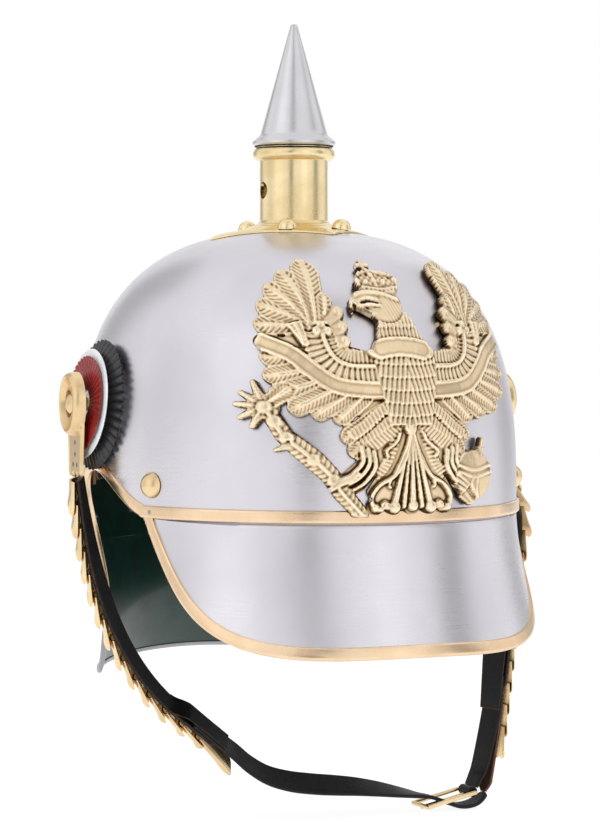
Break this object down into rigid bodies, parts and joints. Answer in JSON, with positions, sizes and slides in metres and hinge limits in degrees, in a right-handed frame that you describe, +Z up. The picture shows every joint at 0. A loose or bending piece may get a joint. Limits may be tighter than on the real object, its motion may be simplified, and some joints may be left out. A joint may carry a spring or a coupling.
{
  "type": "parade helmet with spike",
  "caption": "Polished steel parade helmet with a screwed spike, eagle plate, visor, flared neck guard, cockades, leather liner and swinging chin scales.",
  "frame": {"origin": "on the axis of the spike, level with the middle of the front band, where the head is", "axes": "+Z up along the spike, -Y to the front of the helmet, +X to the wearer's left"},
  "size_m": [0.2542, 0.2723, 0.3985],
  "materials": {
    "steel": "polished steel with a fine brushed grain",
    "brass": "polished pale brass",
    "gilt": "stamped and gilt, darker in the hollows",
    "black_leather": "black, brown on its raw edges",
    "brown_leather": "waxed brown leather",
    "black_paint": "satin black paint",
    "white_paint": "satin white paint",
    "red_paint": "satin red paint"
  },
  "bodies": {
    "helmet": {"skull": "steel", "visor": "steel", "neck_guard": "steel", "front_band": "brass", "visor_trim": "brass", "ear_trim_right": "brass", "ear_trim_left": "brass", "guard_hem": "steel", "flat_rivets": "steel", "dome_rivets": "brass", "rivet_washers": "brass", "lap_rivets": "steel", "spike_base": "brass", "base_studs": "brass", "base_nuts": "steel", "spike_column": "brass", "spike_socket": "brass", "eagle_plate": "gilt", "eagle_posts": "brass", "eagle_nuts": "brass", "cockade_ring_right": "black_paint", "cockade_band_right": "white_paint", "cockade_heart_right": "red_paint", "cockade_ring_left": "black_paint", "cockade_band_left": "white_paint", "cockade_heart_left": "black_paint", "side_posts": "brass", "side_nuts": "steel", "side_screws": "brass", "liner_band": "brown_leather", "liner_tongues": "brown_leather"},
    "spike_carrier": {"spike_washer": "black_leather"},
    "spike": {"spike_cone": "steel", "spike_stud": "steel"},
    "chin_chain": {"rosette_right": "brass", "rosette_left": "brass", "scales_right_1": "brass", "scales_right_2": "brass", "scales_right_3": "brass", "scales_right_4": "brass", "scales_right_5": "brass", "scales_right_6": "brass", "scales_right_7": "brass", "scales_left_1": "brass", "scales_left_2": "brass", "scales_left_3": "brass", "scales_left_4": "brass", "scales_left_5": "brass", "scales_left_6": "brass", "scales_left_7": "brass", "backing_right": "black_leather", "backing_left": "black_leather", "chin_strap": "black_leather", "short_strap": "black_leather", "buckle_frame": "brass", "strap_stud": "brass"},
    "tongue": {"buckle_tongue": "brass"}
  },
  "joints": [
    {"name": "chain_swing", "type": "hinge", "parent": "helmet", "child": "chin_chain", "pos_m": [0, 0.003, 0.05], "axis": [1, 0, 0], "range_deg": [-30, 8]},
    {"name": "spike_lift", "type": "slide", "parent": "helmet", "child": "spike_carrier", "axis": [0, 0, 1], "range_m": [0, 0.009]},
    {"name": "spike_turn", "type": "hinge", "parent": "spike_carrier", "child": "spike", "pos_m": [0, 0, 0.18], "axis": [0, 0, 1], "range_deg": [0, 2160]},
    {"name": "tongue_play", "type": "hinge", "parent": "chin_chain", "child": "tongue", "pos_m": [0.1001, 0.003, -0.15161], "axis": [0, -1, 0], "range_deg": [0, 12]}
  ],
  "couplings": [
    {"joint": "spike_turn", "follows": "spike_lift", "rad_per_m": 4188.8}
  ]
}
